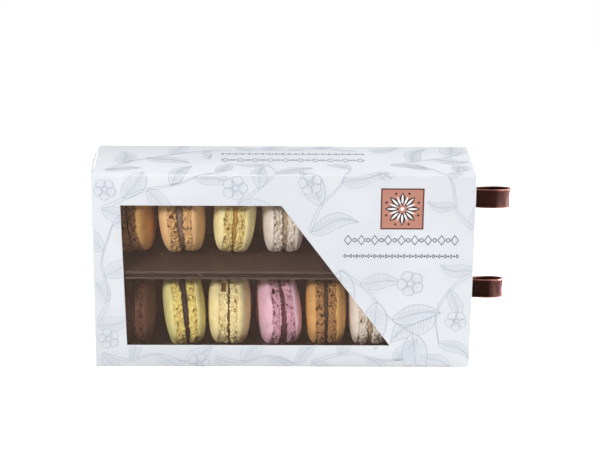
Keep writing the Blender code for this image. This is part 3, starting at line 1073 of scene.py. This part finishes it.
satin = Finish("satin_ribbon")
across = satin.attribute("across")
warp = satin.maths("SINE", across * (2 * math.pi * RIBBON_WIDTH / WARP)) * 0.5 + 0.5
picot = satin.maths("SINE", satin.attribute("along") * (2 * math.pi / PICOT)) * 0.5 + 0.5
selvedge = satin.sharpen(satin.maths("ABSOLUTE", across - 0.5) * 2.0, 0.86, 0.94)
slub = satin.noise(0.0008, 3.0)
satin_tone = satin.mix(satin.sharpen(slub + 0.2 * warp, 0.30, 0.80), seen(SATIN_DEEP), seen(SATIN))
ribbon_satin = satin.set(
    Base_Color=satin.mix(selvedge * (0.25 + 0.75 * picot), satin_tone, seen(SELVEDGE)),
    Metallic=SATIN_SHEEN * (1 - 0.6 * selvedge),
    Roughness=0.5 + 0.2 * selvedge,
    Normal=satin.bump(warp * (1 - selvedge) + 2.5 * selvedge * picot + slub, 0.5, 0.00006),
    Specular_IOR_Level=0.3,
)


def ribbon_line(row):
    """The ribbon's middle line seen from above: a turned-out end, a teardrop loop, the other end."""
    tray_low, tray_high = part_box(f"tray_{row}")
    low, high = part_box(f"ribbon_{row}")
    middle = low.y + RIBBON_TAB + (high.y - low.y - 2 * RIBBON_TAB) / 2
    face = RIBBON_GAP + RIBBON_THICKNESS / 2

    def beside_wall(y):
        """A place on the tray's end wall, off the ribbon's middle."""
        return (tray_high.x - wall_inset(middle + y - tray_low.y, True) + face, middle + y)

    start = beside_wall(0.0)[0] + RIBBON_BEND / 2
    length = high.x - RIBBON_THICKNESS / 2 - start
    ends = (-RIBBON_BEND - RIBBON_TAB, -RIBBON_BEND - RIBBON_TAB / 2, -RIBBON_BEND)
    controls = [beside_wall(y) for y in ends]
    for step in range(RIBBON_TURNS + 1):
        angle = RIBBON_FIRST_TURN + (2 * math.pi - 2 * RIBBON_FIRST_TURN) * step / RIBBON_TURNS
        side = -RIBBON_HALF_OPENING * math.sin(angle) * math.sin(angle / 2) ** RIBBON_FULLNESS
        controls.append((start + length / 2 * (1 - math.cos(angle)), middle + side))
    controls += [beside_wall(y) for y in (RIBBON_BEND, RIBBON_TAB / 2, RIBBON_TAB)]
    return smooth_path(controls, 5), low.z, high.z


def ribbon_mesh(row):
    """A thin strip with a thicker selvedge at both edges, carried along the ribbon's line."""
    line, z_low, z_high = ribbon_line(row)
    travelled = [0.0]
    for here, following in zip(line, line[1:]):
        travelled.append(travelled[-1] + (following - here).length)
    strip_rings = []
    for i, here in enumerate(line):
        run = heading(line, i)
        out = Vector((run.y, -run.x))
        wave = EDGE_RIPPLE * math.sin(travelled[i] * 2 * math.pi / PICOT)
        ring = []
        for sign in (1, -1):
            for share in RIBBON_SHARES[::sign]:
                at_edge = not 0.05 < share < 0.95
                half = RIBBON_THICKNESS / 2 * 0.8 * (EDGE_SWELL if at_edge else 1.0) * sign
                point = here + out * (half - RIBBON_CUP * math.sin(math.pi * share))
                ripple = wave * (share - 0.5) if at_edge else 0.0
                ring.append((point.x, point.y, z_low + (z_high - z_low) * share + ripple))
        strip_rings.append(ring)
    mesh = finished_mesh(f"satin_ribbon_{row}", loft(strip_rings))
    marks = {
        "across": np.tile(RIBBON_SHARES + RIBBON_SHARES[::-1], len(line)),
        "along": np.repeat(travelled, 2 * len(RIBBON_SHARES)),
    }
    return smooth(marked(mesh, marks), 50)


def marked(mesh, marks):
    """A mesh with a number at each of its points for every mark."""
    for mark, values in marks.items():
        mesh.attributes.new(mark, "FLOAT", "POINT").data.foreach_set("value", values.astype(np.float32))
    return mesh


for row in ("lower", "upper"):
    name = f"satin_ribbon_{row}"
    add_piece(name, ribbon_mesh(row), f"drawer_{row}", [ribbon_satin], [f"ribbon_{row}"])

# Macarons: two baked almond shells, each a smooth dome over a ruffled, porous foot, standing on edge in
# their tray. The places and leans are those of the CAD solids, and every shell has its own relief.
FOOT = 0.0052
FOOT_SHARE = 0.975
DOME_POWER = 2.3
DOME_SHARE = 0.978
SHELL_SIDES = 400
FOOT_RINGS = 27
DOME_RINGS = 20
SHELL_GAP = 0.0003
SKIRT_WAVE = 0.0008
RELIEF_ROOM = (0.994, 0.985)

# Flavour, place from the left, seam, dome height, degrees of lean, turn and splay, and radius.
MACARON_ROWS = {
    "lower": [
        ("chocolate", 0.0219, 0.0030, 0.0066, 0.0, 0.0, 0.0, 0.0229),
        ("green", 0.0522, 0.0032, 0.0060, -4.6, 6.0, 0.9, 0.0230),
        ("yellow", 0.0799, 0.0012, 0.0075, 0.0, -0.3, 0.0, 0.0232),
        ("pink", 0.1097, 0.0034, 0.0062, -2.6, 9.5, -2.2, 0.0230),
        ("caramel", 0.1387, 0.0022, 0.0065, -1.0, 0.0, 0.0, 0.0228),
        ("cream", 0.1650, 0.0030, 0.0063, -1.0, 0.0, 0.0, 0.0230),
        ("peach", 0.1942, 0.0030, 0.0063, 1.5, -2.0, 0.0, 0.0230),
    ],
    "upper": [
        ("caramel", 0.0221, 0.0012, 0.0065, -6.0, -6.7, 0.0, 0.0231),
        ("peach", 0.0513, 0.0038, 0.0070, -3.8, -0.4, 1.3, 0.0231),
        ("lemon", 0.0831, 0.0026, 0.0064, 4.0, 1.0, 1.6, 0.0229),
        ("cream", 0.1122, 0.0030, 0.0060, 0.0, 3.4, 0.0, 0.0229),
        ("pink", 0.1410, 0.0030, 0.0062, -1.5, 2.0, 0.8, 0.0230),
        ("green", 0.1698, 0.0029, 0.0062, 2.0, -1.5, 0.0, 0.0230),
        ("chocolate", 0.1984, 0.0030, 0.0064, 0.0, 1.0, 0.6, 0.0230),
    ],
}
MACARON_Y = {"lower": -0.0025, "upper": 0.0043}

# Seen colours of each flavour: dome, foot, and a dark tone, which makes real specks on the dome and is
# painted shade in the foot's holes, creases and chips; then how porous the foot is.
CRUSTS = {
    "chocolate": ((90, 58, 43), (98, 62, 46), (50, 31, 23), 0.5),
    "green": ((220, 209, 136), (240, 216, 126), (150, 110, 40), 0.34),
    "yellow": ((234, 216, 158), (244, 226, 166), (172, 122, 48), 0.34),
    "pink": ((224, 180, 196), (222, 168, 186), (122, 64, 76), 0.45),
    "caramel": ((208, 158, 94), (178, 130, 80), (84, 48, 26), 0.62),
    "cream": ((222, 210, 196), (232, 219, 203), (156, 126, 90), 0.35),
    "peach": ((228, 182, 128), (230, 180, 120), (96, 56, 32), 0.60),
    "lemon": ((238, 222, 162), (240, 216, 142), (166, 118, 36), 0.46),
}

# Relief in metres, the same for every shell.
SHELL_RELIEF = {
    "Lump size": 0.0030, "Lump height": 0.0011, "Hole size": 0.0028, "Hole depth": 0.0015,
    "Chip depth": 0.0022, "Swell size": 0.016, "Swell": 0.00022,
}

# Where a foot has lost a piece: degrees up from the front, half its height in degrees, and the stretch of
# the foot from the seam, 0, to the dome, 1.
CHIPS = {
    ("lower", 3, "left"): [(53, 10, 0.12, 0.85)],
    ("upper", 3, "right"): [(52, 8, 0.35, 0.95)],
    ("upper", 2, "right"): [(47, 4, 0.55, 0.90), (41, 4, 0.30, 0.62)],
    ("lower", 4, "left"): [(47, 5, 0.45, 0.85)],
}


def crust(flavour):
    """Baked meringue: smooth, dull and finely grained on the dome, rough on the foot, with painted shade in
    its pits.
    """
    dome, foot, speck_and_pit_shade, _ = CRUSTS[flavour]
    made = Finish(f"{flavour}_crust")
    on_foot = made.attribute("foot")
    mottle = made.noise(0.006, 3.0)
    almond = made.noise(0.0007, 3.0)
    base = made.mix(made.sharpen(mottle * 0.6 + almond * 0.4, 0.3, 0.7), seen(dome, 0.95), seen(dome, 1.05))
    speck = made.sharpen(made.noise(0.0009, 1.0), 0.74, 0.8) * 0.45
    base = made.mix(speck, base, seen(speck_and_pit_shade))
    foot_tone = made.mix(made.sharpen(made.noise(0.0015, 3.0), 0.3, 0.7), seen(foot, 0.9), seen(foot))
    # Painted shade: the foot's holes and creases and the chips take the dark tone, and the chips darken
    # further still.
    colour = made.mix(made.attribute("pit"), made.mix(on_foot, base, foot_tone), seen(speck_and_pit_shade))
    return made.set(
        Base_Color=made.mix(made.attribute("broken") * 0.8, colour, seen(speck_and_pit_shade, 0.6)),
        Roughness=0.62 + 0.25 * on_foot,
        Normal=made.bump((almond + 0.5 * mottle) * (1 + 2.0 * on_foot), 0.35, 0.00012),
        Specular_IOR_Level=0.2,
    )


def relief_tree():
    """The foot's crumbly lumps and holes and the dome's slight swell, pushed in and out along the normals."""
    graph, given = open_tree(
        "baked_relief", ("Shell", "Geometry"), ("Seed", "Float"), ("Lump size", "Float"),
        ("Lump height", "Float"), ("Hole size", "Float"), ("Hole depth", "Float"), ("Porosity", "Float"),
        ("Chip depth", "Float"), ("Swell size", "Float"), ("Swell", "Float"), ("Crust", "Material"),
    )

    def vectors(operation, first, second):
        sockets = {"Vector": first, "Scale" if operation == "SCALE" else "Vector_001": second}
        return graph.node("ShaderNodeVectorMath", sockets, "Vector", operation=operation)

    def attribute(name):
        return graph.node("GeometryNodeInputNamedAttribute", {"Name": name}, "Attribute", data_type="FLOAT")

    shift = graph.vector(X=given["Seed"], Y=given["Seed"] * 0.37)
    place = vectors("ADD", graph.node("GeometryNodeInputPosition"), shift)
    foot = attribute("foot")

    def cloud(size, detail, output="Fac"):
        fine = {"Vector": place, "Scale": graph.maths("DIVIDE", 1.0, size), "Detail": detail}
        return graph.node("ShaderNodeTexNoise", fine, output)

    astray = vectors("SUBTRACT", cloud(given["Lump size"] * 0.8, 2.0, "Color"), (0.5, 0.5, 0.5))
    bent = vectors("ADD", place, vectors("SCALE", astray, given["Lump size"] * 1.5))

    def cells(size, feature):
        """Distances in a pattern of crumbs, to the middle of one or to the creases between them."""
        sockets = {"Vector": bent, "Scale": graph.maths("DIVIDE", 1.0, size)}
        return graph.node("ShaderNodeTexVoronoi", sockets, "Distance", feature=feature)

    coarse = graph.sharpen(cells(given["Lump size"], "DISTANCE_TO_EDGE"), 0.0, 0.36)
    fine = graph.sharpen(cells(given["Lump size"] * 0.5, "DISTANCE_TO_EDGE"), 0.0, 0.36)
    lumps = 0.75 * coarse + 0.25 * fine - 0.5 + 0.8 * (cloud(given["Lump size"] * 2.2, 2.0) - 0.5)
    open_here = cloud(given["Hole size"] * 1.9, 1.0) - 0.5 + 0.20 * attribute("border")
    open_here = open_here + 0.4 * (given["Porosity"] - 0.5)
    hole = graph.sharpen(cells(given["Hole size"], "F1"), 0.46, 0.22) * graph.sharpen(open_here, 0.0, 0.10)
    # Painted shade only: the creases between lumps darken the colour and do not move the surface.
    crease_shade = graph.sharpen(coarse, 0.36, 0.06) * graph.sharpen(open_here, -0.08, 0.14) * 0.35
    broken = attribute("chip") + 0.8 * (cloud(given["Lump size"], 2.0) - 0.5)
    chip = graph.sharpen(broken, 0.3, 0.6)
    pit = graph.maths("MAXIMUM", hole, crease_shade) * foot
    drop = given["Hole depth"] * hole * foot + given["Chip depth"] * chip
    shell = given["Shell"]
    # The first and third marks are painted shade for the crust's colour; drop moves the surface.
    for name, value in (("pit", graph.maths("MAXIMUM", pit, chip)), ("drop", drop), ("broken", chip)):
        stored = {"Geometry": shell, "Name": name, "Value": value}
        shell = graph.node("GeometryNodeStoreNamedAttribute", stored, data_type="FLOAT")
    swell = 2.0 * given["Swell"] * (cloud(given["Swell size"], 1.0) - 0.5)
    height = given["Lump height"] * lumps * foot * (1 - chip) + swell - attribute("drop")
    push = vectors("SCALE", graph.node("GeometryNodeInputNormal"), height)
    moved = graph.node("GeometryNodeSetPosition", {"Geometry": shell, "Offset": push})
    return close_tree(graph, moved, given["Crust"])


def chip_amount(chips, degrees, share):
    """How much of the foot is missing at a place, from 0 to 1."""
    amount = 0.0
    for middle, half, first, last in chips:
        tall = 1 - abs(degrees - middle) / half
        wide = 1 - abs(share - (first + last) / 2) / ((last - first) / 2)
        amount = max(amount, min(1.0, max(0.0, 3 * tall)) * min(1.0, max(0.0, 3 * wide)))
    return amount


def shell_mesh(name, radius, dome, seed, side, chips):
    """One shell standing on x = 0, marked with what is foot, how near the dome is, and its chips."""
    # Each station along the shell: x, share of the radius, how much it is foot, skirt's wave, nearness.
    inner_side = ((0.6, 0.0), (0.85, 0.3), (0.91, 0.7), (0.945, 1.0))
    stations = [(0.0, reach, foot, 0.0, 0.0) for reach, foot in inner_side]
    for step in range(FOOT_RINGS + 1):
        share = step / FOOT_RINGS
        bulge = 0.960 + 0.026 * math.sin(math.pi * (0.08 + 0.84 * share)) ** 0.6
        stations.append((FOOT * 0.965 * share, bulge, 1.0 if share < 0.96 else 0.6, share, share))
    for step in range(DOME_RINGS):
        share = (step + 0.3) / DOME_RINGS
        angle = math.pi / 2 * share**1.1
        reach = DOME_SHARE * math.cos(angle) ** (2 / DOME_POWER)
        x = FOOT * FOOT_SHARE + (dome + FOOT * (1 - FOOT_SHARE)) * math.sin(angle) ** (2 / DOME_POWER)
        stations.append((x, reach, 0.0, max(0.0, 1 - 1.6 * share), 0.0))
    turns = [2 * math.pi * k / SHELL_SIDES for k in range(SHELL_SIDES)]
    circle = []
    for turn in turns:
        c, s = math.cos(turn), math.sin(turn)
        slow = noise.noise(Vector((2.2 * c, 2.2 * s, 10 * seed)))
        quick = noise.noise(Vector((9 * c, 9 * s, 10 * seed + 5)))
        circle.append((c, s, SKIRT_WAVE * (slow + 0.8 * quick)))
    bm = loft([
        [(x + skirt * wave, radius * share * c, radius * share * s) for c, s, wave in circle]
        for x, share, _, skirt, _ in stations
    ])
    chipped = []
    for x, _, foot, _, _ in stations:
        for turn in turns:
            degrees = math.degrees(math.pi - turn if side > 0 else turn)
            chipped.append(chip_amount(chips, degrees, x / FOOT) if foot == 1.0 and x > 0 else 0.0)
    return marked(finished_mesh(name, bm), {
        "foot": np.repeat([station[2] for station in stations], SHELL_SIDES),
        "border": np.repeat([station[4] for station in stations], SHELL_SIDES),
        "chip": np.array(chipped),
    })


relief = relief_tree()
crusts = {flavour: crust(flavour) for flavour in CRUSTS}
places = {}
for row, macarons in MACARON_ROWS.items():
    tray_low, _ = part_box(f"tray_{row}")
    rest = tray_low.z + wall_inset(MACARON_Y[row] - tray_low.y, False)
    for number, (flavour, from_end, seam, dome, lean, turn, splay, radius) in enumerate(macarons, start=1):
        height = rest + (radius + SHELL_GAP) / math.cos(TRAY_DRAFT)
        place = Matrix.Translation((sleeve_low.x + from_end, MACARON_Y[row], height))
        place = place @ Matrix.Rotation(math.radians(turn), 4, "Z")
        place = place @ Matrix.Rotation(math.radians(lean), 4, "Y")
        places[row, number] = place
        for side, word in ((1, "right"), (-1, "left")):
            seed = 0.31 * number + (0.17 if side > 0 else 0.05) + (2.9 if row == "upper" else 0.0)
            chips = CHIPS.get((row, number, word), [])
            plain = shell_mesh("shell", radius * RELIEF_ROOM[0], dome * RELIEF_ROOM[1], seed, side, chips)
            finish = crusts[flavour]
            values = {"Seed": seed, "Porosity": CRUSTS[flavour][3], "Crust": finish}
            baked = run_tree(relief, plain, {**SHELL_RELIEF, **values})
            outwards = Matrix.Rotation(math.radians(side * splay), 4, "Y")
            step = Matrix.Translation((side * seam / 2, 0, 0))
            facing = Matrix.Rotation(0 if side > 0 else math.pi, 4, "Z")
            baked.transform(place @ outwards @ step @ facing)
            baked.shade_smooth()
            node = f"{row}_{number}_shell_{word}"
            add_piece(f"{flavour}_{node}", baked, f"drawer_{row}", [finish], [node])

# Fillings: ganache, jam or butter cream piped between the shells and pressed out almost to their rims.
FILLING_SHARE = 0.91
FILLING_BULGE = 0.012
FILLING_SIDES = 220
FILLING_RINGS = 12
FILLING_RELIEF = {
    "Lump size": 0.0045, "Lump height": 0.0005, "Hole size": 0.0030, "Hole depth": 0.0, "Porosity": 0.0,
    "Chip depth": 0.0, "Swell size": 0.012, "Swell": 0.0003,
}

# Seen colours: the filling, its darker streaks, and how rough it is.
FILLINGS = {
    "chocolate": ((72, 46, 36), (52, 33, 26), 0.6),
    "green": ((56, 38, 30), (44, 30, 24), 0.6),
    "yellow": ((150, 112, 62), (110, 76, 40), 0.6),
    "pink": ((112, 54, 66), (84, 36, 48), 0.45),
    "caramel": ((74, 52, 38), (54, 36, 26), 0.6),
    "cream": ((190, 168, 142), (160, 134, 104), 0.6),
    "peach": ((138, 112, 94), (104, 78, 62), 0.5),
    "lemon": ((206, 166, 76), (176, 130, 46), 0.5),
}


def cream_finish(flavour):
    light, dark, roughness = FILLINGS[flavour]
    made = Finish(f"{flavour}_cream")
    streak = made.noise(0.0022, 3.0)
    return made.set(
        Base_Color=made.mix(made.sharpen(streak, 0.3, 0.7), seen(dark), seen(light)),
        Roughness=roughness,
        Normal=made.bump(streak, 0.4, 0.0003),
        Specular_IOR_Level=0.3,
    )


def filling_mesh(name, radius, seam, splay):
    """A round of cream, thicker where the shells stand apart, with a soft rim."""
    slope = math.tan(math.radians(splay))
    rows = []
    for step in range(FILLING_RINGS + 1):
        side = 2 * step / FILLING_RINGS - 1
        share = FILLING_SHARE * (1 + FILLING_BULGE * (1 - side**2))
        ring = []
        for k in range(FILLING_SIDES):
            angle = 2 * math.pi * k / FILLING_SIDES
            y, z = radius * share * math.cos(angle), radius * share * math.sin(angle)
            ring.append((side * (seam / 2 - SHELL_GAP * 0.3 + z * slope), y, z))
        rows.append(ring)
    mesh = finished_mesh(name, loft(rows))
    return marked(mesh, {"foot": np.ones(len(mesh.vertices))})


creams = {flavour: cream_finish(flavour) for flavour in FILLINGS}
for row, macarons in MACARON_ROWS.items():
    for number, (flavour, _, seam, _, _, _, splay, radius) in enumerate(macarons, start=1):
        finish = creams[flavour]
        values = {**FILLING_RELIEF, "Seed": 7.7 + 0.43 * number, "Crust": finish}
        piped = run_tree(relief, filling_mesh("filling", radius, seam, splay), values)
        piped.transform(places[row, number])
        piped.shade_smooth()
        node = f"{row}_{number}_filling"
        add_piece(f"{flavour}_{node}", piped, f"drawer_{row}", [finish], [node])

# Crumbs: what has fallen from the feet lies on each tray's lower wall, and one fine fibre on the rims.
CRUMB_SIZE = 0.00045
CRUMBS_PER_SQUARE_METRE = 6500.0
CRUMB_SEED = 5
ANY_TURN = (6.28, 6.28, 6.28)
CRUMB = (206, 172, 128)

# The crumbs' patch ends short of the tray's ends, of its front and of its floor.
PATCH_ENDS = 0.006
PATCH_FRONT = 0.002
PATCH_FLOOR = 0.004


def crumb_tree():
    """Crumbs strewn over a patch, each turned and sized by chance."""
    graph, given = open_tree(
        "strewn_crumbs", ("Patch", "Geometry"), ("Crumb", "Object"), ("Density", "Float"), ("Size", "Float"),
        ("Seed", "Int"), ("Crust", "Material"),
    )
    strewn = {"Mesh": given["Patch"], "Density": given["Density"], "Seed": given["Seed"]}
    limits = {"Min": (0.0, 0.0, 0.0), "Max": ANY_TURN, "Seed": given["Seed"]}
    angles = graph.node("FunctionNodeRandomValue", limits, "Value", data_type="FLOAT_VECTOR")
    size = given["Size"] * random_share(graph, 0.35, 1.0, given["Seed"] + 3.0)
    placed = graph.node("GeometryNodeInstanceOnPoints", {
        "Points": graph.node("GeometryNodeDistributePointsOnFaces", strewn, "Points"),
        "Instance": graph.node("GeometryNodeObjectInfo", {"Object": given["Crumb"]}, "Geometry"),
        "Rotation": graph.node("FunctionNodeEulerToRotation", {"Euler": angles}),
        "Scale": graph.vector(X=size, Y=size * 0.8, Z=size * 0.7),
    })
    return close_tree(graph, placed, given["Crust"])


crumb_bm = bmesh.new()
bmesh.ops.create_icosphere(crumb_bm, subdivisions=1, radius=1.0)
for vert in crumb_bm.verts:
    vert.co *= 1 + 0.45 * noise.noise(vert.co * 1.7)
crumb_shape = bpy.data.objects.new("crumb", finished_mesh("crumb", crumb_bm))
baked_crumb = Finish("crumb_crust")
crumb_crust = baked_crumb.set(
    Base_Color=baked_crumb.mix(baked_crumb.noise(0.002, 2.0), seen(CRUMB, 0.7), seen(CRUMB)),
    Roughness=0.85,
    Specular_IOR_Level=0.2,
)
strewing = crumb_tree()
for number, row in enumerate(("lower", "upper")):
    low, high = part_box(f"tray_{row}")
    patch = bmesh.new()
    lines = []
    for y in (low.y + PATCH_FRONT, high.y - PATCH_FLOOR):
        z = low.z + wall_inset(y - low.y, False) + CRUMB_SIZE * 0.35
        lines.append([patch.verts.new((x, y, z)) for x in (low.x + PATCH_ENDS, high.x - PATCH_ENDS)])
    patch.faces.new((*lines[0], *lines[1][::-1]))
    crumbs = run_tree(strewing, finished_mesh("patch", patch, False), {
        "Crumb": crumb_shape, "Density": CRUMBS_PER_SQUARE_METRE, "Size": CRUMB_SIZE,
        "Seed": CRUMB_SEED + number, "Crust": crumb_crust,
    })
    add_piece(f"crumbs_{row}", crumbs, f"drawer_{row}", [crumb_crust])

# The fibre's points, in millimetres from the sleeve's left end, in front of the rims and up from the table.
FIBRE = [(61.6, 0.10, 59.3), (62.4, 0.30, 59.0), (63.2, 0.34, 58.5), (63.9, 0.24, 57.9), (64.3, 0.10, 57.3)]
FIBRE_RADIUS = 0.00014
FIBRE_SIDES = 6
_, rim_front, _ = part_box("tray_upper")[0]
fibre_path = smooth_path([(sleeve_low.x + x * MM, rim_front - y * MM, z * MM) for x, y, z in FIBRE], 6)
fibre_round = [2 * math.pi * k / FIBRE_SIDES for k in range(FIBRE_SIDES)]
fibre_rings = []
for point in fibre_path:
    fibre_rings.append([point + FIBRE_RADIUS * Vector((0, math.cos(a), math.sin(a))) for a in fibre_round])
fibre_mesh = smooth(finished_mesh("fibre", loft(fibre_rings)), 60)
add_piece("sugar_fibre", fibre_mesh, "drawer_upper", [crumb_crust])
